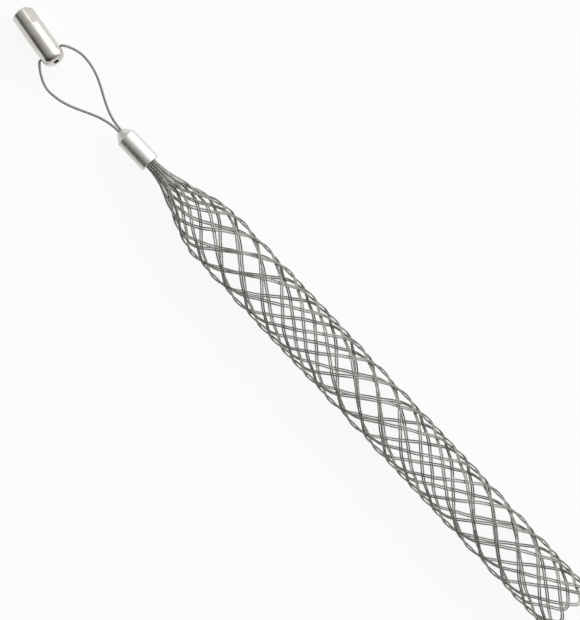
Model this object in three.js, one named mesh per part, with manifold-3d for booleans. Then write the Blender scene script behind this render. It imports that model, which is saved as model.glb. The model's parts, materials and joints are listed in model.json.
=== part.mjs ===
// Cable pulling grip: a woven wire stocking, crimped into a ferrule, with a swivelling wire loop
// that carries a threaded pull head. Millimetres, +Z up. The grip lies on its side along X with
// the pull head at +X, and its open tail, where the cable goes in, at -X.
import * as THREE from 'three';
import { mergeVertices } from 'three/addons/utils/BufferGeometryUtils.js';
import Module from 'manifold-3d';

const wasm = await Module();
wasm.setup();

const TURN = 2 * Math.PI;
const RIGHT_ANGLE = Math.PI / 2;
const SAME_CORNER = 1e-4;
const ROW_PASSES = 6;

// Clearances
const fitGap = 0.3;
const seatGap = 0.05;

// Woven stocking
const boreDiameter = 21.8;
const wireDiameter = 0.6;
const pairGap = 0.25;
const layerGap = 0.3;
const pairsEachWay = 7;
const rowPitch = 6.75;
const rowCount = 34;
const coneLength = 40;
const firstRow = 15.4;
const tailBendRadius = 2.2;
const restFlat = 0.6;
const crowding = 0.7;
const swayMean = -0.36;
const swayAngle = 0.11;
const swayLength = 74;
const swayPeak = 128;
const wireSides = 5;
const tailBendSteps = 3;

// Ferrule, its crimped sleeve and the wires inside it
const ferruleDiameter = 8.6;
const ferruleLength = 17.6;
const ferruleWall = 0.85;
const ferruleTipLength = 3;
const ferruleTipDiameter = 3.6;
const ferruleNoseWall = 5;
const ferruleEdge = 0.3;
const ferruleOffset = 1.04;
const sleeveInset = 0.5;
const turnedSides = 40;

// Swivel stop and washer inside the ferrule
const stopLength = 3;
const washerThickness = 0.5;

// Wire loop
const ropeDiameter = 1;
const ropeSides = 8;
const ropeSteps = 96;
const legGap = 0.1;
const hingeReach = 59.4;
const hingeOffset = 2.1;
const loopWideReach = 49.2;
const loopWidthPlus = 8.8;
const loopWidthMinus = 11;
const loopFlank = 13;
const loopShoulder = 4.3;

// Pull head
const headDiameter = 9.4;
const headLength = 26.3;
const headNearLength = 4.4;
const headYaw = 0.133;
const headChamfer = 0.8;
const headDomeLength = 2.6;
const headDomeFlatDiameter = 4;
const headDomeSteps = 5;
const crossHoleDiameter = 1.9;
const crossHoleFlare = 0.55;
const endHoleDiameter = 2.4;
const socketDiameter = 5;
const socketDepth = 12;
const socketTipAngle = 1.03;
const socketLeadIn = 0.55;
const flatDepth = 1.2;
const flatLength = 8.6;
const flatTurn = 1.05;

// Sizes that follow from the ones above
const midRadius = boreDiameter / 2 + wireDiameter + layerGap / 2;
const layerPitch = wireDiameter + layerGap;
const pairPitch = wireDiameter + pairGap;
const bundlePitch = wireDiameter + seatGap;
const bundleInnerRadius = bundlePitch / (2 * Math.sin(Math.PI / (2 * pairsEachWay)));
const bundleMidRadius = bundleInnerRadius + bundlePitch / 2;
const bundleRadius = bundleInnerRadius + bundlePitch + wireDiameter / 2;
const cellAngle = TURN / pairsEachWay;
const cellSide = Math.hypot(rowPitch, Math.PI * midRadius / pairsEachWay);
const splitAt = firstRow - cellSide / 2;
const ferruleRadius = ferruleDiameter / 2;
const ferruleBoreRadius = ferruleRadius - ferruleWall;
const ferruleBoreEnd = ferruleLength - ferruleNoseWall;
const legPitch = ropeDiameter + legGap;
const legHoleRadius = (legPitch + ropeDiameter) / 2 + fitGap;
const headRadius = headDiameter / 2;
const headFarLength = headLength - headNearLength;
const washerEnd = ferruleBoreEnd - fitGap;
const stopEnd = washerEnd - washerThickness - fitGap;
const stopStart = stopEnd - stopLength;
const wireEnd = stopStart - sleeveInset;

// Finishes
const steel = { metalness: 1, roughness: 0.42 };
const headSteel = new THREE.MeshStandardMaterial({ color: 0xa5a39b, ...steel });
const ropeSteel = new THREE.MeshStandardMaterial({ color: 0x7d7c76, ...steel });
const wireSteel = new THREE.MeshStandardMaterial({ color: 0x9a9993, ...steel });
const satinAluminium = new THREE.MeshStandardMaterial({ color: 0xd9d8d4, metalness: 1, roughness: 0.3 });
const copper = new THREE.MeshStandardMaterial({ color: 0xb07a55, metalness: 1, roughness: 0.4 });
const brass = new THREE.MeshStandardMaterial({ color: 0xc2a45c, metalness: 1, roughness: 0.35 });

const grip = new THREE.Group();

function addPiece(name, geometry, material, parent) {
  const mesh = new THREE.Mesh(geometry, material);
  mesh.name = name;
  parent.add(mesh);
  return mesh;
}

// One closed body: shared corners merged, empty triangles left out, faces turned outwards.
function closedBody(geometry) {
  const bare = new THREE.BufferGeometry();
  bare.setAttribute('position', geometry.getAttribute('position').clone());
  if (geometry.index) {
    bare.setIndex(geometry.index.clone());
  }
  const merged = mergeVertices(bare, SAME_CORNER);
  const corners = merged.getAttribute('position');
  const source = merged.index.array;
  const faces = [];
  const a = new THREE.Vector3();
  const b = new THREE.Vector3();
  const c = new THREE.Vector3();
  let volume = 0;
  for (let i = 0; i < source.length; i += 3) {
    const [p, q, r] = [source[i], source[i + 1], source[i + 2]];
    if (p === q || q === r || r === p) {
      continue;
    }
    a.fromBufferAttribute(corners, p);
    b.fromBufferAttribute(corners, q);
    c.fromBufferAttribute(corners, r);
    volume += a.dot(b.cross(c));
    faces.push([p, q, r]);
  }
  const facesOut = volume > 0 ? faces : faces.map(([p, q, r]) => [p, r, q]);
  merged.setIndex(facesOut.flat());
  return merged;
}

function toSolid(geometry) {
  const body = closedBody(geometry);
  const mesh = new wasm.Mesh({
    numProp: 3,
    vertProperties: new Float32Array(body.getAttribute('position').array),
    triVerts: new Uint32Array(body.index.array),
  });
  return new wasm.Manifold(mesh);
}

function toGeometry(solid) {
  const mesh = solid.getMesh();
  const geometry = new THREE.BufferGeometry();
  geometry.setAttribute('position', new THREE.BufferAttribute(mesh.vertProperties, 3));
  geometry.setIndex(new THREE.BufferAttribute(mesh.triVerts, 1));
  return geometry;
}

// A body of revolution about X from a profile of [distance along X, radius] points.
function turned(profile, sides = turnedSides) {
  const points = profile.map(([along, radius]) => new THREE.Vector2(radius, along));
  const lathe = new THREE.LatheGeometry(points, sides);
  lathe.rotateZ(-RIGHT_ANGLE);
  return lathe;
}

function ring(start, end, innerRadius, outerRadius) {
  return turned([
    [start, innerRadius],
    [end, innerRadius],
    [end, outerRadius],
    [start, outerRadius],
    [start, innerRadius],
  ]);
}

function roundSection(diameter, sides) {
  const section = new THREE.Shape();
  for (let i = 0; i < sides; i += 1) {
    const angle = TURN * i / sides;
    const x = Math.cos(angle) * diameter / 2;
    const y = Math.sin(angle) * diameter / 2;
    if (i === 0) {
      section.moveTo(x, y);
    } else {
      section.lineTo(x, y);
    }
  }
  return section;
}

function sweep(path, diameter, sides, steps) {
  const section = roundSection(diameter, sides);
  return new THREE.ExtrudeGeometry(section, { steps, extrudePath: path, bevelEnabled: false });
}

// A path whose extrusion steps fall on its stations, so a woven wire bends at its crossings.
class StationPath extends THREE.Curve {
  constructor(stations) {
    super();
    this.stations = stations;
  }

  getPoint(t, target = new THREE.Vector3()) {
    const place = THREE.MathUtils.clamp(t, 0, 1) * (this.stations.length - 1);
    const from = Math.min(Math.floor(place), this.stations.length - 2);
    return target.lerpVectors(this.stations[from], this.stations[from + 1], place - from);
  }

  getPointAt(u, target) {
    return this.getPoint(u, target);
  }

  getTangentAt(u, target) {
    return this.getTangent(u, target);
  }
}

// Woven stocking. Distances along it run from the ferrule's mouth towards the tail, and angles
// run round it from its top.
function coneShare(along) {
  return THREE.MathUtils.smoothstep(along, 0, coneLength);
}

function stockingRadius(along) {
  return THREE.MathUtils.lerp(bundleMidRadius, midRadius, coneShare(along));
}

// Hand-woven stockings drift to and fro round their axis.
function sway(along) {
  return swayMean + swayAngle * Math.cos(TURN * (along - swayPeak) / swayLength);
}

// The stocking has slumped on its own weight, so its underside is a little flat.
function onStocking(along, angle, radius) {
  const layer = radius - stockingRadius(along);
  const underside = restFlat - midRadius - layer;
  const axisOffset = ferruleOffset * (1 - coneShare(along));
  const y = -radius * Math.sin(angle) - axisOffset;
  const z = Math.max(radius * Math.cos(angle), underside);
  return new THREE.Vector3(-along, y, z);
}

// Rows of crossings: the side of each diamond keeps its length where the stocking narrows.
function rowPlaces() {
  const places = [firstRow];
  while (places.length <= rowCount) {
    const here = places.at(-1);
    let step = rowPitch;
    for (let pass = 0; pass < ROW_PASSES; pass += 1) {
      const rise = stockingRadius(here + step) - stockingRadius(here);
      const around = Math.PI * stockingRadius(here + step / 2) / pairsEachWay;
      step = Math.sqrt(cellSide ** 2 - around ** 2 - rise ** 2);
    }
    places.push(here + step);
  }
  return places;
}

// Where the strands crowd together in the cone, the two wires of a pair close up.
function pairPitchAt(radius) {
  const share = crowding * (1 - wireDiameter / layerPitch) / pairsEachWay;
  return THREE.MathUtils.clamp(share * Math.PI * radius, bundlePitch, pairPitch);
}

const rows = rowPlaces();

// One station of a wire. hand is the way round that its strand climbs, member is its side of
// the pair, and stacked is 0 where the pair lies side by side and 1 where one is on the other.
function wireStation({ hand, start, row, along, member, stacked = 0, lift = 0 }) {
  const radius = stockingRadius(along);
  const reach = member * pairPitchAt(radius) / 2;
  const lay = stacked * RIGHT_ANGLE;
  const slant = Math.asin(Math.PI * radius / pairsEachWay / cellSide) * (1 - stacked);
  const angle = cellAngle * (start + hand * row / 2) + sway(along);
  const sideways = reach * Math.cos(lay);
  return onStocking(
    along - sideways * Math.sin(slant),
    angle + hand * sideways * Math.cos(slant) / radius,
    radius + hand * reach * Math.sin(lay) + hand * lift,
  );
}

// The strands that climb one way pass over in the odd rows, and under in the even ones.
function liftAt(row) {
  return (row % 2 === 0 ? -1 : 1) * layerPitch / 2;
}

// One run from inside the ferrule to the last crossing: over and under by turns.
function wireRun(hand, start, member) {
  const common = { hand, start, member, row: -0.5 };
  const firstLift = liftAt(0) / 2;
  const stations = [
    wireStation({ ...common, along: -wireEnd, stacked: 1 }),
    wireStation({ ...common, along: fitGap, stacked: 1 }),
    wireStation({ ...common, along: splitAt / 2, stacked: 0.5, lift: firstLift / 2 }),
    wireStation({ ...common, along: splitAt, lift: firstLift }),
  ];
  for (let row = 0; row < rowCount; row += 1) {
    stations.push(wireStation({ hand, start, member, row, along: rows[row], lift: liftAt(row) }));
  }
  return stations;
}

// The bend at the tail, which turns the run that climbs one way into the one that climbs back.
function tailBend(start, member) {
  const along = rows[rowCount];
  const slant = Math.asin(Math.PI * midRadius / pairsEachWay / cellSide);
  const centre = along - tailBendRadius / Math.sin(slant);
  const radius = tailBendRadius - member * pairPitch / 2;
  const angle = cellAngle * (start + rowCount / 2) + sway(along);
  const stations = [];
  for (let i = 0; i <= tailBendSteps; i += 1) {
    const bend = (RIGHT_ANGLE - slant) * (2 * i / tailBendSteps - 1);
    const aside = radius * Math.sin(bend) / midRadius;
    stations.push(onStocking(centre + radius * Math.cos(bend), angle + aside, midRadius));
  }
  return stations;
}

function meshWire(start, member) {
  const out = wireRun(1, start, member);
  const back = wireRun(-1, start + rowCount, member).reverse();
  const stations = [...out, ...tailBend(start, member), ...back];
  return sweep(new StationPath(stations), wireDiameter, wireSides, stations.length - 1);
}

const stocking = new THREE.Group();
grip.add(stocking);
for (let start = 0; start < pairsEachWay; start += 1) {
  for (const member of [1, -1]) {
    const number = String(2 * start + (member > 0 ? 1 : 2)).padStart(2, '0');
    addPiece(`mesh_wire_${number}`, closedBody(meshWire(start, member)), wireSteel, stocking);
  }
}
const floor = new THREE.Box3().setFromObject(stocking).min.z;

// Ferrule: a turned sleeve with a cone nose that the loop's legs leave by.
const ferruleGroup = new THREE.Group();
ferruleGroup.position.y = -ferruleOffset;
grip.add(ferruleGroup);

const ferruleProfile = [
  [ferruleEdge, ferruleBoreRadius],
  [ferruleBoreEnd, ferruleBoreRadius],
  [ferruleBoreEnd, legHoleRadius],
  [ferruleLength, legHoleRadius],
  [ferruleLength, ferruleTipDiameter / 2],
  [ferruleLength - ferruleTipLength, ferruleRadius - ferruleEdge],
  [ferruleLength - ferruleTipLength - ferruleEdge, ferruleRadius],
  [ferruleEdge, ferruleRadius],
  [0, ferruleRadius - ferruleEdge],
  [0, ferruleBoreRadius + ferruleEdge],
  [ferruleEdge, ferruleBoreRadius],
];
addPiece('ferrule', closedBody(turned(ferruleProfile)), satinAluminium, ferruleGroup);

// Sleeve that gathers the wire ends and is crimped in the ferrule's mouth.
const sleeveInner = bundleRadius + fitGap / 2;
const sleeveOuter = ferruleBoreRadius - fitGap;
const sleeve = ring(sleeveInset, wireEnd, sleeveInner, sleeveOuter);
addPiece('bundle_sleeve', closedBody(sleeve), copper, ferruleGroup);

const washer = ring(washerEnd - washerThickness, washerEnd, legHoleRadius, ferruleBoreRadius - fitGap);
addPiece('thrust_washer', closedBody(washer), brass, ferruleGroup);

// The stop is crimped on the loop's two legs and turns against the washer.
function loopStop() {
  const edge = ferruleEdge;
  const radius = ferruleBoreRadius - fitGap;
  const blank = toSolid(turned([
    [stopStart, 0],
    [stopStart, radius - edge],
    [stopStart + edge, radius],
    [stopEnd - edge, radius],
    [stopEnd, radius - edge],
    [stopEnd, 0],
  ]));
  const legHole = turned([
    [stopStart - fitGap, 0],
    [stopStart - fitGap, ropeDiameter / 2 + fitGap / 2],
    [stopEnd + fitGap, ropeDiameter / 2 + fitGap / 2],
    [stopEnd + fitGap, 0],
  ], 2 * ropeSides);
  const holes = [-1, 1].map((side) => toSolid(legHole.clone().translate(0, side * legPitch / 2, 0)));
  return toGeometry(blank.subtract(holes[0]).subtract(holes[1]));
}
addPiece('loop_stop', loopStop(), brass, ferruleGroup);

// Pull loop: one rope from the stop, round through the head's cross hole and back to the stop.
function loopPath() {
  const along = new THREE.Vector3(1, 0, 0);
  const hinge = new THREE.Vector3(hingeReach, -hingeOffset, 0);
  const across = new THREE.Vector3(Math.sin(headYaw), Math.cos(headYaw), 0);
  const mouthReach = headRadius + ropeDiameter / 2;
  const legs = [-1, 1].map((side) => {
    const width = side > 0 ? loopWidthPlus : -loopWidthMinus;
    const end = new THREE.Vector3(stopStart + fitGap / 2, side * legPitch / 2 - ferruleOffset, 0);
    const nose = end.clone().setX(ferruleLength);
    const wide = new THREE.Vector3(loopWideReach, width, 0);
    const mouth = hinge.clone().addScaledVector(across, side * mouthReach);
    return [
      new THREE.LineCurve3(end, nose),
      new THREE.CubicBezierCurve3(
        nose,
        nose.clone().addScaledVector(along, loopFlank),
        wide.clone().addScaledVector(along, -loopFlank),
        wide,
      ),
      new THREE.CubicBezierCurve3(
        wide,
        wide.clone().addScaledVector(along, loopShoulder),
        mouth.clone().addScaledVector(across, side * ropeDiameter),
        mouth,
      ),
    ];
  });
  const [out, back] = legs;
  const path = new THREE.CurvePath();
  out.forEach((curve) => path.add(curve));
  path.add(new THREE.LineCurve3(out[2].v3, back[2].v3));
  [...back].reverse().forEach((curve) => {
    path.add(curve.isLineCurve3
      ? new THREE.LineCurve3(curve.v2, curve.v1)
      : new THREE.CubicBezierCurve3(curve.v3, curve.v2, curve.v1, curve.v0));
  });
  return path;
}
addPiece('pull_loop', closedBody(sweep(loopPath(), ropeDiameter, ropeSides, ropeSteps)), ropeSteel, grip);

// Pull head: its own X runs from the loop's cross hole to the threaded end.
function headBlank() {
  const domeFlat = headDomeFlatDiameter / 2;
  const dome = new THREE.EllipseCurve(
    headDomeLength - headNearLength,
    domeFlat,
    headDomeLength,
    headRadius - domeFlat,
    Math.PI,
    RIGHT_ANGLE,
    true,
  ).getPoints(headDomeSteps).map((point) => [point.x, point.y]);
  return turned([
    [-headNearLength, 0],
    ...dome,
    [headFarLength - headChamfer, headRadius],
    [headFarLength, headRadius - headChamfer],
    [headFarLength, 0],
  ]);
}

function headSocket() {
  const radius = socketDiameter / 2;
  const bottom = headFarLength - socketDepth;
  return turned([
    [bottom - radius / Math.tan(socketTipAngle), 0],
    [bottom, radius],
    [headFarLength - socketLeadIn, radius],
    [headFarLength + socketLeadIn, radius + 2 * socketLeadIn],
    [headFarLength + socketLeadIn, 0],
  ]);
}

function headCrossHole() {
  const radius = crossHoleDiameter / 2;
  const flareEnd = headRadius + crossHoleFlare;
  const flareStart = headRadius - crossHoleFlare;
  const hole = turned([
    [-flareEnd, 0],
    [-flareEnd, radius + 2 * crossHoleFlare],
    [-flareStart, radius],
    [flareStart, radius],
    [flareEnd, radius + 2 * crossHoleFlare],
    [flareEnd, 0],
  ], turnedSides / 2);
  hole.rotateZ(RIGHT_ANGLE);
  return hole;
}

function headEndHole() {
  const radius = endHoleDiameter / 2;
  return turned([
    [-headNearLength - fitGap, 0],
    [-headNearLength - fitGap, radius],
    [0, radius],
    [0, 0],
  ], turnedSides / 2);
}

// Two flats for a spanner next to the threaded end.
function headFlats() {
  const block = new THREE.BoxGeometry(2 * flatLength, headDiameter, headDiameter);
  return [-1, 1].map((side) => {
    const cutter = block.clone();
    cutter.translate(headFarLength, 0, side * (headDiameter - flatDepth));
    cutter.rotateX(flatTurn);
    return cutter;
  });
}

function pullHead() {
  const cutters = [headSocket(), headCrossHole(), headEndHole(), ...headFlats()];
  return cutters.reduce((body, cutter) => body.subtract(toSolid(cutter)), toSolid(headBlank()));
}

// The head hangs from the loop until the edge of its threaded end rests on the ground.
const edgeReach = headFarLength - headChamfer;
const droop = Math.asin(-floor / Math.hypot(edgeReach, headRadius)) - Math.atan2(headRadius, edgeReach);
const head = addPiece('pull_head', toGeometry(pullHead()), headSteel, grip);
head.position.set(hingeReach, -hingeOffset, 0);
head.rotation.set(0, droop, -headYaw, 'ZYX');

// The origin is on the ground, below the middle of the whole grip.
const whole = new THREE.Box3().setFromObject(grip, true);
const middle = whole.getCenter(new THREE.Vector3());
grip.position.set(-middle.x, -middle.y, -whole.min.z);

export default grip;
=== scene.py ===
import json
import math

import bmesh
import bpy
import numpy as np
from mathutils import Matrix, Vector


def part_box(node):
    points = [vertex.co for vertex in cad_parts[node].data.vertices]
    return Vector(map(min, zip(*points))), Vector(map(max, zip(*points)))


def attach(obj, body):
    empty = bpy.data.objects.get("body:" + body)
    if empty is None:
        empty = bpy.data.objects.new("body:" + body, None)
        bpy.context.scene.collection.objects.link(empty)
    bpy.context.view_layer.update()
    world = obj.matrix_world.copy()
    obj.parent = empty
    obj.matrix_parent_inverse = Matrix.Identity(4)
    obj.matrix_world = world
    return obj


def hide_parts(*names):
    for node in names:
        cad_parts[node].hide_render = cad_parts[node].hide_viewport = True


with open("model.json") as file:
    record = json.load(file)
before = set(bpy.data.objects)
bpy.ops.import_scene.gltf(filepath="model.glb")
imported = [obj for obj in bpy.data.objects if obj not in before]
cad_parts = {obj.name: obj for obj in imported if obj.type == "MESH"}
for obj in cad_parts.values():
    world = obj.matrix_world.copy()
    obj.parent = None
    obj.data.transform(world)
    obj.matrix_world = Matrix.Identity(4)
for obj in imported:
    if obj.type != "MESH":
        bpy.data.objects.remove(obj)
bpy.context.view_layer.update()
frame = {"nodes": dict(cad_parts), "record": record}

MM = 0.001
MICRON = 0.001 * MM
TURN = 2 * math.pi

# The photograph's scale and where its middle lies on the grip, in its own pixels
PHOTO_MM = 0.4
PHOTO_SIZE = (580, 620)
PHOTO_AXIS_START = (210.4, 230.5)
PHOTO_AXIS_ALONG = (0.686, 0.7275)
PHOTO_MOUTH = -90

# Values shared with the part's source: lengths in millimetres and angles in radians
FIT_GAP = 0.3
SEAT_GAP = 0.05
BORE_DIAMETER = 21.8
WIRE_DIAMETER = 0.6
PAIR_GAP = 0.25
LAYER_GAP = 0.3
PAIRS_EACH_WAY = 7
ROW_PITCH = 6.75
ROW_COUNT = 34
CONE_LENGTH = 40
FIRST_ROW = 15.4
TAIL_BEND_RADIUS = 2.2
REST_FLAT = 0.6
CROWDING = 0.7
SWAY_MEAN = -0.36
SWAY_ANGLE = 0.11
SWAY_LENGTH = 74
SWAY_PEAK = 128
WIRE_END = 8

FERRULE_DIAMETER = 8.6
FERRULE_LENGTH = 17.6
FERRULE_BORE_RADIUS = 3.45
FERRULE_BORE_END = 12.6
FERRULE_TIP_LENGTH = 3
FERRULE_TIP_DIAMETER = 3.6
FERRULE_CHAMFER = 0.3
FERRULE_OFFSET = 1.04
LEG_HOLE_RADIUS = 1.35

ROPE_DIAMETER = 1
LEG_PITCH = 1.1
LOOP_START = 8.65
LOOP_WIDE_REACH = 49.2
LOOP_WIDTH_PLUS = 8.8
LOOP_WIDTH_MINUS = 11
LOOP_FLANK = 13
LOOP_SHOULDER = 4.3

HEAD_RADIUS = 4.7
HEAD_NEAR = 4.4
HEAD_FAR = 21.9
HEAD_YAW = 0.133
HEAD_CHAMFER = 0.8
DOME_LENGTH = 2.6
DOME_FLAT_RADIUS = 2
CROSS_HOLE_RADIUS = 0.95
CROSS_HOLE_FLARE = 0.55
END_HOLE_RADIUS = 1.2
SOCKET_RADIUS = 2.5
SOCKET_DEPTH = 12
SOCKET_LEAD_IN = 0.55
FLAT_DEPTH = 1.2
FLAT_LENGTH = 8.6
FLAT_TURN = 1.05

# What the part's source leaves to this script: lengths in millimetres, counts and shares
STRANDS = 6
STRANDED_DIAMETER = 0.64
WIRE_LAY = 6.6
WIRE_STEP = 0.6
WIRE_STRAND_POINTS = 4
TAIL_SET_BACK = 0.15
ROPE_LAID_DIAMETER = 1.08
ROPE_LAY = 8
ROPE_STEP = 0.25
ROPE_STRAND_POINTS = 6
FERRULE_EDGE_ROUND = 0.1
HEAD_EDGE_ROUND = 0.12
THREAD_ROOT_RADIUS = 3
THREAD_PITCH = 1
THREAD_FLAT_SHARE = 0.15
THREAD_BACKING = 0.02
DRILL_POINT_SHARE = 0.6

# How finely round things are divided
TURNED_SIDES = 96
SOCKET_SIDES = 72
HOLE_SIDES = 48
DOME_STEPS = 8
THREAD_STEPS_PER_TURN = 10

# Sizes that follow from the ones above
MID_RADIUS = BORE_DIAMETER / 2 + WIRE_DIAMETER + LAYER_GAP / 2
LAYER_PITCH = WIRE_DIAMETER + LAYER_GAP
PAIR_PITCH = WIRE_DIAMETER + PAIR_GAP
BUNDLE_PITCH = WIRE_DIAMETER + SEAT_GAP
FULLER = (STRANDED_DIAMETER - WIRE_DIAMETER) / 2
BUNDLE_MID_RADIUS = BUNDLE_PITCH / (2 * math.sin(math.pi / (2 * PAIRS_EACH_WAY))) + BUNDLE_PITCH / 2
CELL_ANGLE = TURN / PAIRS_EACH_WAY
CELL_SIDE = math.hypot(ROW_PITCH, math.pi * MID_RADIUS / PAIRS_EACH_WAY)

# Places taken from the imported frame
joints = {joint["name"]: joint for joint in frame["record"]["behaviour"]["joints"]}
swivel = Vector(joints["loop_swivel"]["pos_m"]) / MM
hinge = Vector(joints["head_pivot"]["pos_m"]) / MM
mouth_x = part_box("ferrule")[0].x / MM
axis_z = swivel.z
ferrule_y = swivel.y
stocking_y = ferrule_y + FERRULE_OFFSET


# Node helpers, where the owner is a material or the world
def add_node(owner, kind, **settings):
    """A new node, with each setting given to its input of that name or else to its property."""
    node = owner.node_tree.nodes.new(kind)
    for name, value in settings.items():
        if name in node.inputs:
            node.inputs[name].default_value = value
        else:
            setattr(node, name, value)
    return node


def link(owner, source, target):
    owner.node_tree.links.new(source, target)


def map_range(owner, value, from_min=0, from_max=1, to_min=0, to_max=1):
    node = add_node(owner, "ShaderNodeMapRange")
    node.inputs["From Min"].default_value = from_min
    node.inputs["From Max"].default_value = from_max
    node.inputs["To Min"].default_value = to_min
    node.inputs["To Max"].default_value = to_max
    link(owner, value, node.inputs["Value"])
    return node.outputs["Result"]


def mix_colours(owner, factor):
    node = add_node(owner, "ShaderNodeMix", data_type="RGBA")
    link(owner, factor, node.inputs["Factor"])
    return node


def ramp_between(owner, factor, low, high, start, end):
    ramp = add_node(owner, "ShaderNodeValToRGB")
    first, last = ramp.color_ramp.elements
    first.position = start
    first.color = (*low, 1)
    last.position = end
    last.color = (*high, 1)
    link(owner, factor, ramp.inputs["Fac"])
    return ramp.outputs["Color"]


# Materials
def new_material(name):
    material = bpy.data.materials.new(name)
    material.use_nodes = True
    material.node_tree.nodes.clear()
    output = add_node(material, "ShaderNodeOutputMaterial", name="surface")
    shader = add_node(material, "ShaderNodeBsdfPrincipled")
    link(material, shader.outputs["BSDF"], output.inputs["Surface"])
    return material, shader


# The share of a groove's depth at which the painted shade in it is full
GROOVE_SHADE_DEPTH = 0.6
# How dark the duller patches of a strand are
DULL_SHARE = 0.84
# How little the tool rings change across the axis that they run round
RING_STRETCH = 0.02
# How far a surface's roughness goes below and above its stated value
STRAND_SHEEN = (-0.06, 0.08)
TURNED_SHEEN = (-0.1, 0.12)


def vary_roughness(material, shader, factor, roughness, spread):
    low, high = spread
    sheen = map_range(material, factor, to_min=roughness + low, to_max=roughness + high)
    link(material, sheen, shader.inputs["Roughness"])


def stranded_steel(name, dark, light, roughness, grain):
    """Bright strands with painted shade in the grooves between them, and a little change along the wire."""
    material, shader = new_material(name)
    shader.inputs["Metallic"].default_value = 1
    coords = add_node(material, "ShaderNodeTexCoord")
    patches = add_node(material, "ShaderNodeTexNoise", Scale=grain, Detail=4, Roughness=0.6)
    link(material, coords.outputs["Object"], patches.inputs["Vector"])
    dull = tuple(DULL_SHARE * level for level in light)
    face = ramp_between(material, patches.outputs["Fac"], dull, light, start=0.3, end=0.7)
    # Painted shade: the deeper a point lies in a groove between strands, the nearer its colour comes to the
    # dark one
    groove = add_node(material, "ShaderNodeAttribute", attribute_name="groove")
    groove_shade = map_range(material, groove.outputs["Fac"], from_max=GROOVE_SHADE_DEPTH)
    colour = mix_colours(material, groove_shade)
    link(material, face, colour.inputs["A"])
    colour.inputs["B"].default_value = (*dark, 1)
    link(material, colour.outputs["Result"], shader.inputs["Base Color"])
    vary_roughness(material, shader, patches.outputs["Fac"], roughness, STRAND_SHEEN)
    return material


def turned_metal(name, own_frame, low, high, roughness, ring_scale, ring_depth):
    """Turned metal: fine tool rings round the X of its own frame, and soft stains."""
    material, shader = new_material(name)
    shader.inputs["Metallic"].default_value = 1
    coords = add_node(material, "ShaderNodeTexCoord")
    mapping = add_node(material, "ShaderNodeMapping", vector_type="POINT")
    to_frame = own_frame.inverted()
    mapping.inputs["Rotation"].default_value = to_frame.to_euler()
    mapping.inputs["Location"].default_value = to_frame.to_translation()
    link(material, coords.outputs["Object"], mapping.inputs["Vector"])
    stains = add_node(material, "ShaderNodeTexNoise", Scale=180, Detail=5, Roughness=0.62)
    link(material, mapping.outputs["Vector"], stains.inputs["Vector"])
    colour = ramp_between(material, stains.outputs["Fac"], low, high, start=0.3, end=0.72)
    link(material, colour, shader.inputs["Base Color"])
    along = add_node(material, "ShaderNodeVectorMath", operation="MULTIPLY")
    along.inputs[1].default_value = (1, RING_STRETCH, RING_STRETCH)
    link(material, mapping.outputs["Vector"], along.inputs[0])
    rings = add_node(material, "ShaderNodeTexNoise", Scale=ring_scale, Detail=3, Roughness=0.7)
    link(material, along.outputs["Vector"], rings.inputs["Vector"])
    vary_roughness(material, shader, rings.outputs["Fac"], roughness, TURNED_SHEEN)
    bump = add_node(material, "ShaderNodeBump", Strength=0.5, Distance=ring_depth)
    link(material, rings.outputs["Fac"], bump.inputs["Height"])
    link(material, bump.outputs["Normal"], shader.inputs["Normal"])
    return material


def head_matrix():
    """The pull head's own frame: X from the cross hole to the threaded end, Y along the cross hole."""
    edge_reach = HEAD_FAR - HEAD_CHAMFER
    droop = math.asin(hinge.z / math.hypot(edge_reach, HEAD_RADIUS)) - math.atan2(HEAD_RADIUS, edge_reach)
    place = Matrix.Translation(hinge) @ Matrix.Rotation(-HEAD_YAW, 4, "Z") @ Matrix.Rotation(droop, 4, "Y")
    return Matrix.Scale(MM, 4) @ place


head_frame = head_matrix()
head_turn = Matrix.Translation(hinge * MM) @ head_frame.to_quaternion().to_matrix().to_4x4()
ferrule_turn = Matrix.Translation(Vector((mouth_x, ferrule_y, axis_z)) * MM)

head_steel = turned_metal(
    "head_steel",
    head_turn,
    low=(0.55, 0.525, 0.475),
    high=(0.73, 0.71, 0.665),
    roughness=0.24,
    ring_scale=5200,
    ring_depth=0.4 * MICRON,
)
ferrule_aluminium = turned_metal(
    "ferrule_aluminium",
    ferrule_turn,
    low=(0.66, 0.66, 0.63),
    high=(0.75, 0.75, 0.72),
    roughness=0.42,
    ring_scale=4200,
    ring_depth=2 * MICRON,
)
swivel_brass = turned_metal(
    "swivel_brass",
    ferrule_turn,
    low=(0.55, 0.42, 0.2),
    high=(0.76, 0.62, 0.34),
    roughness=0.34,
    ring_scale=4200,
    ring_depth=2 * MICRON,
)
sleeve_copper = turned_metal(
    "sleeve_copper",
    ferrule_turn,
    low=(0.5, 0.28, 0.18),
    high=(0.7, 0.44, 0.3),
    roughness=0.4,
    ring_scale=3600,
    ring_depth=2 * MICRON,
)
# The dark colours are painted shade in the grooves between the strands
rope_steel = stranded_steel(
    "rope_steel", dark=(0.012, 0.012, 0.012), light=(0.54, 0.54, 0.52), roughness=0.3, grain=900
)
wire_steel = stranded_steel(
    "wire_steel", dark=(0.025, 0.023, 0.02), light=(0.7, 0.685, 0.64), roughness=0.3, grain=700
)


# Objects and meshes
def add_object(name, mesh, material, body, slot, *replaced):
    obj = bpy.data.objects.new(name, mesh)
    bpy.context.collection.objects.link(obj)
    obj.data.materials.clear()
    obj.data.materials.append(material)
    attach(obj, body)
    if replaced:
        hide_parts(*replaced)
    return obj


def mesh_data(name, mesh):
    """The finished mesh as data for an object."""
    data = bpy.data.meshes.new(name)
    mesh.to_mesh(data)
    mesh.free()
    return data


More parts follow.
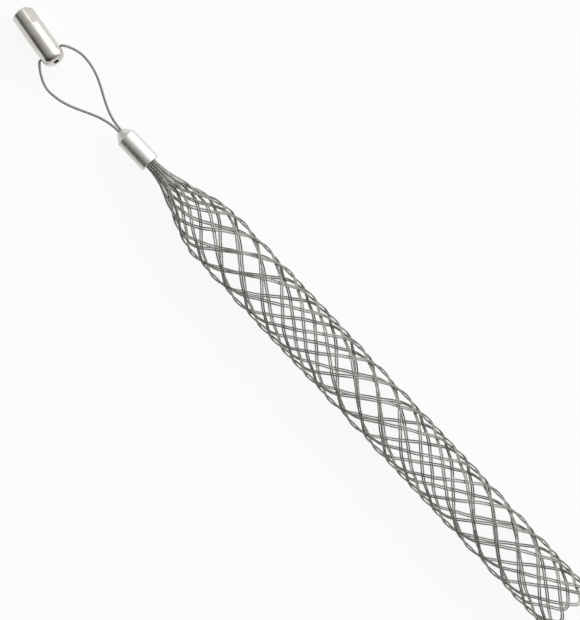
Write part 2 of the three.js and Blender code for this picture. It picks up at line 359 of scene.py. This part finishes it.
def add_ring(mesh, along, radii):
    """A ring of points about X, one for each radius, or a single point for a ring of no size."""
    if not any(radii):
        return [mesh.verts.new((along, 0, 0))]
    angles = [TURN * i / len(radii) for i in range(len(radii))]
    return [mesh.verts.new((along, r * math.cos(a), r * math.sin(a))) for r, a in zip(radii, angles)]


def join_rings(mesh, first, second):
    """The faces between two rings, of which one may be a single point."""
    count = max(len(first), len(second))
    for i in range(count):
        j = (i + 1) % count
        if len(first) == 1:
            mesh.faces.new((first[0], second[j], second[i]))
        elif len(second) == 1:
            mesh.faces.new((first[i], first[j], second[0]))
        else:
            mesh.faces.new((first[i], first[j], second[j], second[i]))


def lathe_mesh(name, profile, sides):
    """A closed body of revolution about X from [along, radius] points that run from axis to axis,
    or a ring where the points close on themselves."""
    mesh = bmesh.new()
    closed = profile[0] == profile[-1]
    points = profile[:-1] if closed else profile
    rings = [add_ring(mesh, along, [radius] * sides) for along, radius in points]
    if closed:
        rings.append(rings[0])
    for first, second in zip(rings, rings[1:]):
        join_rings(mesh, first, second)
    bmesh.ops.recalc_face_normals(mesh, faces=mesh.faces)
    return mesh_data(name, mesh)


def box_mesh(name, size, centre):
    mesh = bmesh.new()
    bmesh.ops.create_cube(mesh, size=1)
    mesh.transform(Matrix.Translation(centre) @ Matrix.Diagonal((*size, 1)))
    return mesh_data(name, mesh)


def apply_modifiers(obj):
    bpy.context.view_layer.update()
    depsgraph = bpy.context.evaluated_depsgraph_get()
    data = bpy.data.meshes.new_from_object(obj.evaluated_get(depsgraph), depsgraph=depsgraph)
    obj.modifiers.clear()
    obj.data = data


def cut(obj, cutter_mesh, turn=Matrix.Identity(4)):
    """Takes the cutter out of the object, once it is turned."""
    cutter_mesh.transform(turn)
    cutter = bpy.data.objects.new("cutter", cutter_mesh)
    bpy.context.collection.objects.link(cutter)
    boolean = obj.modifiers.new("cut", "BOOLEAN")
    boolean.operation = "DIFFERENCE"
    boolean.solver = "EXACT"
    boolean.object = cutter
    apply_modifiers(obj)
    bpy.data.objects.remove(cutter)


def ease_edges(obj, width):
    """Machined edges catch the light on a small round."""
    bevel = obj.modifiers.new("edges", "BEVEL")
    bevel.width = width
    bevel.segments = 3
    bevel.limit_method = "ANGLE"
    bevel.angle_limit = math.radians(28)
    apply_modifiers(obj)


def smooth_by_angle(data):
    """Smooth shading, with the edges that turn by more than the limit kept sharp."""
    limit = math.radians(32)
    data.shade_smooth()
    mesh = bmesh.new()
    mesh.from_mesh(data)
    for edge in mesh.edges:
        edge.smooth = len(edge.link_faces) == 2 and edge.calc_face_angle(0) < limit
    mesh.to_mesh(data)
    mesh.free()


# Laid ropes
def unit_rows(vectors):
    return vectors / np.linalg.norm(vectors, axis=1, keepdims=True)


def axes_across(centres, ups):
    """Two directions across the line at each centre, of which the first leans towards its up."""
    tangents = unit_rows(np.gradient(centres, axis=0))
    normals = unit_rows(ups - np.sum(ups * tangents, axis=1, keepdims=True) * tangents)
    return normals, np.cross(tangents, normals)


def strand_section(diameter, points_each):
    """Angles and radii round a rope of touching round strands."""
    sine = math.sin(math.pi / STRANDS)
    strand_radius = diameter / 2 * sine / (1 + sine)
    strand_centre = diameter / 2 - strand_radius
    count = STRANDS * points_each
    angles = TURN * np.arange(count) / count
    within = (angles * STRANDS / TURN + 0.5) % 1 - 0.5
    aside = within * TURN / STRANDS
    rise = np.maximum(strand_radius**2 - (strand_centre * np.sin(aside)) ** 2, 0)
    return angles, strand_centre * np.cos(aside) + np.sqrt(rise)


def tube_faces(stations, count):
    """Faces of a tube of rings of count points, whose last two points close its ends."""
    faces = []
    for i in range(stations - 1):
        here = i * count
        there = here + count
        for k in range(count):
            m = (k + 1) % count
            faces.append((here + k, here + m, there + m, there + k))
    first_end = stations * count
    last_ring = first_end - count
    for k in range(count):
        m = (k + 1) % count
        faces.append((first_end, m, k))
        faces.append((first_end + 1, last_ring + k, last_ring + m))
    return faces


def rope_mesh(name, centres, ups, diameter, lay, points_each):
    """A laid rope: a section of round strands that turns once in each lay length along the centres."""
    normals, binormals = axes_across(centres, ups)
    steps = np.linalg.norm(np.diff(centres, axis=0), axis=1)
    travelled = np.concatenate([[0], np.cumsum(steps)])
    section, radii = strand_section(diameter, points_each)
    angles = section[None, :] + TURN * travelled[:, None] / lay
    across = radii[None, :, None] * (
        np.cos(angles)[..., None] * normals[:, None, :] + np.sin(angles)[..., None] * binormals[:, None, :]
    )
    rings = (centres[:, None, :] + across).reshape(-1, 3)
    verts = np.concatenate([rings, centres[:1], centres[-1:]]) * MM
    data = bpy.data.meshes.new(name)
    data.from_pydata(verts.tolist(), [], tube_faces(len(centres), len(section)))
    # How deep each point lies in a groove between strands; the strand material paints shade from it
    depths = (radii.max() - radii) / (radii.max() - radii.min())
    values = np.concatenate([np.tile(depths, len(centres)), [0, 0]])
    groove = data.attributes.new("groove", "FLOAT", "POINT")
    groove.data.foreach_set("value", values.astype(np.float32))
    data.shade_smooth()
    return data


# Woven stocking: the same weave as in the part's source, with every wire smooth and laid
def smooth_step(t):
    return t * t * (3 - 2 * t)


def hermite(t, start, start_slope, end, end_slope):
    return (
        (2 * t**3 - 3 * t**2 + 1) * start
        + (t**3 - 2 * t**2 + t) * start_slope
        + (3 * t**2 - 2 * t**3) * end
        + (t**3 - t**2) * end_slope
    )


def cone_share(along):
    return smooth_step(np.clip(along / CONE_LENGTH, 0, 1))


def stocking_radius(along):
    return BUNDLE_MID_RADIUS + (MID_RADIUS - BUNDLE_MID_RADIUS) * cone_share(along)


def sway(along):
    return SWAY_MEAN + SWAY_ANGLE * np.cos(TURN * (along - SWAY_PEAK) / SWAY_LENGTH)


def row_places():
    """Where the crossings lie, so that the diamonds' sides are all as long."""
    settling_rounds = 6
    places = [FIRST_ROW]
    while len(places) <= ROW_COUNT:
        here = places[-1]
        step = ROW_PITCH
        for _ in range(settling_rounds):
            rise = stocking_radius(here + step) - stocking_radius(here)
            around = math.pi * stocking_radius(here + step / 2) / PAIRS_EACH_WAY
            step = math.sqrt(CELL_SIDE**2 - around**2 - rise**2)
        places.append(here + step)
    return np.array(places, float)


ROWS = row_places()
# The stacked wires leave the ferrule half a row before the first crossing
MOUTH_ROW = -0.5


def on_stocking(along, angle, radius):
    """Points on the stocking, in millimetres in the part's frame, and the ways that point outwards."""
    layer = radius - stocking_radius(along)
    offset = FERRULE_OFFSET * (1 - cone_share(along))
    y = -radius * np.sin(angle)
    z = np.maximum(radius * np.cos(angle), REST_FLAT - MID_RADIUS - layer + FULLER)
    points = np.stack([mouth_x - along, y - offset + stocking_y, z + axis_z], axis=1)
    outward = np.stack([np.zeros_like(y), -np.sin(angle), np.cos(angle)], axis=1)
    return points, outward


def along_at_row(row):
    """Where a row number lies: between the crossings it follows them smoothly."""
    slopes = np.gradient(ROWS)
    index = np.clip(np.floor(row).astype(int), 0, len(ROWS) - 2)
    return hermite(row - index, ROWS[index], slopes[index], ROWS[index + 1], slopes[index + 1])


def pair_pitch_at(radius):
    share = CROWDING * (1 - WIRE_DIAMETER / LAYER_PITCH) / PAIRS_EACH_WAY
    return np.clip(share * math.pi * radius, BUNDLE_PITCH, PAIR_PITCH)


def strand_points(hand, start, member, along, row, stacked, lift):
    """One wire of a pair, beside its mate or, where they are stacked, over or under it."""
    radius = stocking_radius(along)
    reach = member * pair_pitch_at(radius) / 2
    roll = stacked * math.pi / 2
    slant = np.arcsin(math.pi * radius / PAIRS_EACH_WAY / CELL_SIDE) * (1 - stacked)
    angle = CELL_ANGLE * (start + hand * row / 2) + sway(along)
    sideways = reach * np.cos(roll)
    return on_stocking(
        along - sideways * np.sin(slant),
        angle + hand * sideways * np.cos(slant) / radius,
        radius + hand * reach * np.sin(roll) + hand * lift,
    )


def neck_run(hand, start, member):
    """From inside the ferrule to the first crossing: the stacked pair opens and starts to climb."""
    along = np.arange(-WIRE_END, FIRST_ROW, WIRE_STEP)
    share = np.clip((along - FIT_GAP) / (FIRST_ROW - FIT_GAP), 0, 1)
    end_slope = (FIRST_ROW - FIT_GAP) / (ROWS[1] - ROWS[0])
    row = hermite(share, MOUTH_ROW, 0, 0, end_slope)
    opened = np.clip((along - FIT_GAP) / (FIRST_ROW - CELL_SIDE / 2 - FIT_GAP), 0, 1)
    stacked = 1 - smooth_step(opened)
    lift = -LAYER_PITCH / 2 * smooth_step(share)
    return strand_points(hand, start, member, along, row, stacked, lift)


def woven_run(hand, start, member):
    """Over and under by turns, from the first crossing to the last before the tail."""
    count = int((ROW_COUNT - 1) * CELL_SIDE / WIRE_STEP)
    row = np.linspace(0, ROW_COUNT - 1, count)
    lift = -LAYER_PITCH / 2 * np.cos(math.pi * row)
    return strand_points(hand, start, member, along_at_row(row), row, np.zeros(count), lift)


def tail_bend(start, member):
    """The bend at the tail that turns one run into the other."""
    fewest_points = 8
    along = ROWS[ROW_COUNT]
    slant = math.asin(math.pi * MID_RADIUS / PAIRS_EACH_WAY / CELL_SIDE)
    centre = along - TAIL_BEND_RADIUS / math.sin(slant) - TAIL_SET_BACK
    radius = TAIL_BEND_RADIUS - member * PAIR_PITCH / 2
    angle = CELL_ANGLE * (start + ROW_COUNT / 2) + float(sway(along))
    half = math.pi / 2 - slant
    bend = np.linspace(-half, half, max(fewest_points, int(2 * half * radius / WIRE_STEP)))
    aside = radius * np.sin(bend) / MID_RADIUS
    return on_stocking(centre + radius * np.cos(bend), angle + aside, np.full(len(bend), MID_RADIUS))


def bridge(before, after):
    """A smooth stretch between two runs of points."""
    (points_a, ups_a), (points_b, ups_b) = before, after
    a, b = points_a[-1], points_b[0]
    length = np.linalg.norm(b - a)
    leave = points_a[-1] - points_a[-2]
    arrive = points_b[1] - points_b[0]
    leave = leave / np.linalg.norm(leave) * length
    arrive = arrive / np.linalg.norm(arrive) * length
    t = np.linspace(0, 1, max(3, int(length / WIRE_STEP)))[1:-1, None]
    return hermite(t, a, leave, b, arrive), (1 - t) * ups_a[-1] + t * ups_b[0]


def wire_path(start, member):
    """One wire from the ferrule to the tail and back, without points that nearly coincide."""
    closest = WIRE_STEP / 5
    out = [neck_run(1, start, member), woven_run(1, start, member)]
    back = [neck_run(-1, start + ROW_COUNT, member), woven_run(-1, start + ROW_COUNT, member)]
    back = [(points[::-1], ups[::-1]) for points, ups in reversed(back)]
    bend = tail_bend(start, member)
    runs = [*out, bridge(out[-1], bend), bend, bridge(bend, back[0]), *back]
    points = np.concatenate([run[0] for run in runs])
    ups = np.concatenate([run[1] for run in runs])
    apart = np.linalg.norm(np.diff(points, axis=0), axis=1) > closest
    keep = np.concatenate([[True], apart])
    return points[keep], ups[keep]


def add_stocking():
    for start in range(PAIRS_EACH_WAY):
        for member in (1, -1):
            number = 2 * start + (1 if member > 0 else 2)
            name = f"stranded_wire_{number:02d}"
            points, ups = wire_path(start, member)
            data = rope_mesh(name, points, ups, STRANDED_DIAMETER, WIRE_LAY, WIRE_STRAND_POINTS)
            node = f"mesh_wire_{number:02d}"
            add_object(name, data, wire_steel, "stocking", "wire_steel", node)


# Pull loop
LEG_POINTS = 60
FLANK_POINTS = 200
SHOULDER_POINTS = 100
HOLE_POINTS = 80


def bezier(a, b, c, d, count):
    t = np.linspace(0, 1, count)[:, None]
    return (1 - t) ** 3 * a + 3 * (1 - t) ** 2 * t * b + 3 * (1 - t) * t**2 * c + t**3 * d


def loop_leg(side):
    """From the stop in the ferrule round the loop's flank to the mouth of the head's cross hole."""
    along = np.array([1.0, 0, 0])
    across = np.array([math.sin(HEAD_YAW), math.cos(HEAD_YAW), 0])
    width = LOOP_WIDTH_PLUS if side > 0 else -LOOP_WIDTH_MINUS
    end = np.array([mouth_x + LOOP_START, ferrule_y + side * LEG_PITCH / 2, axis_z])
    nose = np.array([mouth_x + FERRULE_LENGTH, end[1], axis_z])
    wide = np.array([mouth_x + LOOP_WIDE_REACH, stocking_y + width, axis_z])
    mouth = np.array(hinge) + side * (HEAD_RADIUS + ROPE_DIAMETER / 2) * across
    before_mouth = mouth + side * ROPE_DIAMETER * across
    return np.concatenate(
        [
            np.linspace(end, nose, LEG_POINTS),
            bezier(nose, nose + LOOP_FLANK * along, wide - LOOP_FLANK * along, wide, FLANK_POINTS),
            bezier(wide, wide + LOOP_SHOULDER * along, before_mouth, mouth, SHOULDER_POINTS),
        ]
    )


def loop_points():
    """The rope's centre from one end to the other, in even steps."""
    minus, plus = loop_leg(-1), loop_leg(1)
    route = np.concatenate([minus, np.linspace(minus[-1], plus[-1], HOLE_POINTS), plus[::-1]])
    gaps = np.linalg.norm(np.diff(route, axis=0), axis=1)
    travelled = np.concatenate([[0], np.cumsum(gaps)])
    places = np.linspace(0, travelled[-1], int(travelled[-1] / ROPE_STEP))
    return np.stack([np.interp(places, travelled, route[:, i]) for i in range(3)], axis=1)


def add_loop():
    points = loop_points()
    ups = np.tile([0.0, 0.0, 1.0], (len(points), 1))
    data = rope_mesh("pull_loop_rope", points, ups, ROPE_LAID_DIAMETER, ROPE_LAY, ROPE_STRAND_POINTS)
    add_object("pull_loop_rope", data, rope_steel, "loop", "rope_steel", "pull_loop")


# Ferrule
def ferrule_profile():
    radius = FERRULE_DIAMETER / 2
    shoulder = FERRULE_LENGTH - FERRULE_TIP_LENGTH
    return [
        (FERRULE_CHAMFER, FERRULE_BORE_RADIUS),
        (FERRULE_BORE_END, FERRULE_BORE_RADIUS),
        (FERRULE_BORE_END, LEG_HOLE_RADIUS),
        (FERRULE_LENGTH, LEG_HOLE_RADIUS),
        (FERRULE_LENGTH, FERRULE_TIP_DIAMETER / 2),
        (shoulder, radius - FERRULE_CHAMFER),
        (shoulder - FERRULE_CHAMFER, radius),
        (FERRULE_CHAMFER, radius),
        (0, radius - FERRULE_CHAMFER),
        (0, FERRULE_BORE_RADIUS + FERRULE_CHAMFER),
        (FERRULE_CHAMFER, FERRULE_BORE_RADIUS),
    ]


def add_ferrule():
    data = lathe_mesh("ferrule_turned", ferrule_profile(), TURNED_SIDES)
    slot = "ferrule_aluminium"
    ferrule = add_object("ferrule_turned", data, ferrule_aluminium, "stocking", slot, "ferrule")
    ease_edges(ferrule, FERRULE_EDGE_ROUND)
    place = Matrix.Scale(MM, 4) @ Matrix.Translation((mouth_x, ferrule_y, axis_z))
    ferrule.data.transform(place)
    smooth_by_angle(ferrule.data)


# Pull head, about its own axis
def head_profile():
    """A dome with a small flat, the long cylinder and the chamfered far end."""
    points = [(-HEAD_NEAR, 0)]
    for i in range(DOME_STEPS + 1):
        angle = math.pi / 2 * i / DOME_STEPS
        along = DOME_LENGTH - HEAD_NEAR - DOME_LENGTH * math.cos(angle)
        points.append((along, DOME_FLAT_RADIUS + (HEAD_RADIUS - DOME_FLAT_RADIUS) * math.sin(angle)))
    points += [
        (HEAD_FAR - HEAD_CHAMFER, HEAD_RADIUS),
        (HEAD_FAR, HEAD_RADIUS - HEAD_CHAMFER),
        (HEAD_FAR, 0),
    ]
    return points


def socket_profile():
    """The drilled bore at the thread's root, with its lead-in and the cone of the drill's point."""
    bottom = HEAD_FAR - SOCKET_DEPTH
    return [
        (bottom - THREAD_ROOT_RADIUS * DRILL_POINT_SHARE, 0),
        (bottom, THREAD_ROOT_RADIUS),
        (HEAD_FAR - SOCKET_LEAD_IN, THREAD_ROOT_RADIUS),
        (HEAD_FAR + SOCKET_LEAD_IN, THREAD_ROOT_RADIUS + SOCKET_LEAD_IN),
        (HEAD_FAR + SOCKET_LEAD_IN, 0),
    ]


def cross_hole_profile():
    """The loop's hole, flared at both mouths so that the rope doesn't chafe."""
    flare_end = HEAD_RADIUS + CROSS_HOLE_FLARE
    flare_start = HEAD_RADIUS - CROSS_HOLE_FLARE
    mouth_radius = CROSS_HOLE_RADIUS + 2 * CROSS_HOLE_FLARE
    return [
        (-flare_end, 0),
        (-flare_end, mouth_radius),
        (-flare_start, CROSS_HOLE_RADIUS),
        (flare_start, CROSS_HOLE_RADIUS),
        (flare_end, mouth_radius),
        (flare_end, 0),
    ]


def end_hole_profile():
    """The hole in the dome, as a cutter that starts clear of the head and ends in the cross hole."""
    clearance = 1
    outside = -HEAD_NEAR - clearance
    return [(outside, 0), (outside, END_HOLE_RADIUS), (0, END_HOLE_RADIUS), (0, 0)]


def thread_radius(along, share_round):
    """The radius of the internal thread's surface, with flats at its crests and roots."""
    phase = (along / THREAD_PITCH + share_round) % 1
    ridge = abs(2 * phase - 1)
    depth_share = min(1, max(0, (1 + 2 * THREAD_FLAT_SHARE) * ridge - THREAD_FLAT_SHARE))
    return SOCKET_RADIUS + (THREAD_ROOT_RADIUS - SOCKET_RADIUS) * depth_share


def threaded_wall():
    """The socket's wall: an internal thread in a thin sleeve that fills the drilled bore."""
    depth = SOCKET_DEPTH - SOCKET_LEAD_IN
    steps = int(depth / THREAD_PITCH * THREAD_STEPS_PER_TURN)
    mesh = bmesh.new()
    inner = []
    outer = []
    for i in range(steps + 1):
        along = HEAD_FAR - SOCKET_LEAD_IN - depth * i / steps
        threaded = [thread_radius(along, k / SOCKET_SIDES) for k in range(SOCKET_SIDES)]
        inner.append(add_ring(mesh, along, threaded))
        outer.append(add_ring(mesh, along, [THREAD_ROOT_RADIUS + THREAD_BACKING] * SOCKET_SIDES))
    rings = [*inner, *reversed(outer), inner[0]]
    for first, second in zip(rings, rings[1:]):
        join_rings(mesh, first, second)
    bmesh.ops.recalc_face_normals(mesh, faces=mesh.faces)
    return mesh


def cut_spanner_flats(head):
    for side in (-1, 1):
        centre = (HEAD_FAR, 0, side * (2 * HEAD_RADIUS - FLAT_DEPTH))
        block = box_mesh("flat", (2 * FLAT_LENGTH, 2 * HEAD_RADIUS, 2 * HEAD_RADIUS), centre)
        cut(head, block, Matrix.Rotation(FLAT_TURN, 4, "X"))


def add_head():
    data = lathe_mesh("pull_head_turned", head_profile(), TURNED_SIDES)
    head = add_object("pull_head_turned", data, head_steel, "head", "head_steel", "pull_head")
    cut(head, lathe_mesh("socket", socket_profile(), SOCKET_SIDES))
    across = Matrix.Rotation(math.pi / 2, 4, "Z")
    cut(head, lathe_mesh("cross_hole", cross_hole_profile(), HOLE_SIDES), across)
    cut(head, lathe_mesh("end_hole", end_hole_profile(), HOLE_SIDES))
    cut_spanner_flats(head)
    ease_edges(head, HEAD_EDGE_ROUND)
    thread = threaded_wall()
    thread.from_mesh(head.data)
    thread.to_mesh(head.data)
    thread.free()
    head.data.transform(head_frame)
    smooth_by_angle(head.data)


# Inner pieces, shown as the part's own solids
def dress_inner_pieces():
    for node, material in (
        ("loop_stop", swivel_brass),
        ("thrust_washer", swivel_brass),
        ("bundle_sleeve", sleeve_copper),
    ):
        frame["nodes"][node].data.materials[0] = material


# Floor, light and camera, in metres
FLOOR_SIZE = 6
FLOOR_PLACE = (0, 0, -0.02 * MM)
FLOOR_COLOUR = (0.9, 0.9, 0.895)
FLOOR_WHITENESS = 0.89


def add_floor():
    """A white floor that shows white where it is lit and keeps the object's shadow."""
    bpy.ops.mesh.primitive_plane_add(size=FLOOR_SIZE, location=FLOOR_PLACE)
    floor = bpy.context.object
    floor.name = "floor"
    material, shader = new_material("floor_white")
    shader.inputs["Base Color"].default_value = (*FLOOR_COLOUR, 1)
    shader.inputs["Roughness"].default_value = 0.9
    shader.inputs["Specular IOR Level"].default_value = 0.1
    white = add_node(material, "ShaderNodeEmission", Color=(1, 1, 1, 1), Strength=1)
    path = add_node(material, "ShaderNodeLightPath")
    seen = path.outputs["Is Camera Ray"]
    for ray in ("Is Glossy Ray", "Is Transmission Ray"):
        either = add_node(material, "ShaderNodeMath", operation="MAXIMUM")
        link(material, seen, either.inputs[0])
        link(material, path.outputs[ray], either.inputs[1])
        seen = either.outputs["Value"]
    share = map_range(material, seen, to_max=FLOOR_WHITENESS)
    mix = add_node(material, "ShaderNodeMixShader")
    link(material, share, mix.inputs["Fac"])
    link(material, shader.outputs["BSDF"], mix.inputs[1])
    link(material, white.outputs["Emission"], mix.inputs[2])
    link(material, mix.outputs["Shader"], material.node_tree.nodes["surface"].inputs["Surface"])
    floor.data.materials.append(material)


KEY_PLACE = Vector((-0.1, -1.0, 0.55))
KEY_TARGET = Vector((0, 0, 0.01))
KEY_SIZE = (2.6, 1.7)
KEY_POWER = 16


def add_key_light():
    """A large soft box on the side that is bright in the photograph."""
    data = bpy.data.lights.new("key", "AREA")
    data.shape = "RECTANGLE"
    data.size, data.size_y = KEY_SIZE
    data.energy = KEY_POWER
    light = bpy.data.objects.new("key", data)
    light.location = KEY_PLACE
    light.rotation_euler = (KEY_TARGET - KEY_PLACE).to_track_quat("-Z", "Y").to_euler()
    bpy.context.collection.objects.link(light)


SOFTBOX_SIDE = Vector((0.2, -0.8, 0.57)).normalized()
# How bright the room is, from the side away from the soft box to the side towards it
ROOM_LEVELS = ((0.1, 0.05), (0.33, 0.03), (0.42, 0.12), (0.52, 0.3), (0.68, 0.46), (0.82, 0.62), (0.93, 0.95))
HORIZON_COLOUR = (0.88, 0.88, 0.875)
HORIZON_HEIGHT = 0.09


def add_world():
    """A room that is dark behind the grip, bright on the side of the soft box and pale at the horizon."""
    world = bpy.data.worlds.new("studio")
    bpy.context.scene.world = world
    world.use_nodes = True
    world.node_tree.nodes.clear()
    coords = add_node(world, "ShaderNodeTexCoord")
    facing = add_node(world, "ShaderNodeVectorMath", operation="DOT_PRODUCT")
    facing.inputs[1].default_value = SOFTBOX_SIDE
    link(world, coords.outputs["Generated"], facing.inputs[0])
    walls = add_node(world, "ShaderNodeValToRGB")
    stops = walls.color_ramp.elements
    while len(stops) < len(ROOM_LEVELS):
        stops.new(0.5)
    for stop, (position, level) in zip(stops, ROOM_LEVELS):
        stop.position = position
        stop.color = (level, level, level, 1)
    link(world, map_range(world, facing.outputs["Value"], from_min=-1), walls.inputs["Fac"])
    height = add_node(world, "ShaderNodeSeparateXYZ")
    link(world, coords.outputs["Generated"], height.inputs["Vector"])
    colour = mix_colours(world, map_range(world, height.outputs["Z"], from_max=HORIZON_HEIGHT))
    colour.inputs["A"].default_value = (*HORIZON_COLOUR, 1)
    link(world, walls.outputs["Color"], colour.inputs["B"])
    background = add_node(world, "ShaderNodeBackground")
    link(world, colour.outputs["Result"], background.inputs["Color"])
    output = add_node(world, "ShaderNodeOutputWorld")
    link(world, background.outputs["Background"], output.inputs["Surface"])


CAMERA_HEIGHT = 1.6
SENSOR_WIDTH_MM = 36
NEAREST_SEEN = 0.01


def add_camera():
    """The photograph looks straight down on the grip, which runs from its upper left to its lower right."""
    along_x, along_y = PHOTO_AXIS_ALONG
    from_start = Vector((PHOTO_SIZE[0] / 2 - PHOTO_AXIS_START[0], PHOTO_SIZE[1] / 2 - PHOTO_AXIS_START[1]))
    down_axis = from_start.x * along_x + from_start.y * along_y - PHOTO_MOUTH
    off_axis = from_start.x * along_y - from_start.y * along_x
    target = Vector((mouth_x - down_axis * PHOTO_MM, stocking_y - off_axis * PHOTO_MM, axis_z)) * MM
    data = bpy.data.cameras.new("camera")
    data.sensor_width = SENSOR_WIDTH_MM
    data.lens = SENSOR_WIDTH_MM * CAMERA_HEIGHT / (max(PHOTO_SIZE) * PHOTO_MM * MM)
    data.clip_start = NEAREST_SEEN
    camera = bpy.data.objects.new("camera", data)
    camera.location = target + Vector((0, 0, CAMERA_HEIGHT))
    camera.rotation_euler = (0, 0, math.pi + math.atan2(along_y, along_x))
    bpy.context.collection.objects.link(camera)
    bpy.context.scene.camera = camera


add_stocking()
add_loop()
add_ferrule()
add_head()
dress_inner_pieces()
add_floor()
add_world()
add_key_light()
add_camera()
bpy.context.scene.view_settings.view_transform = "Standard"
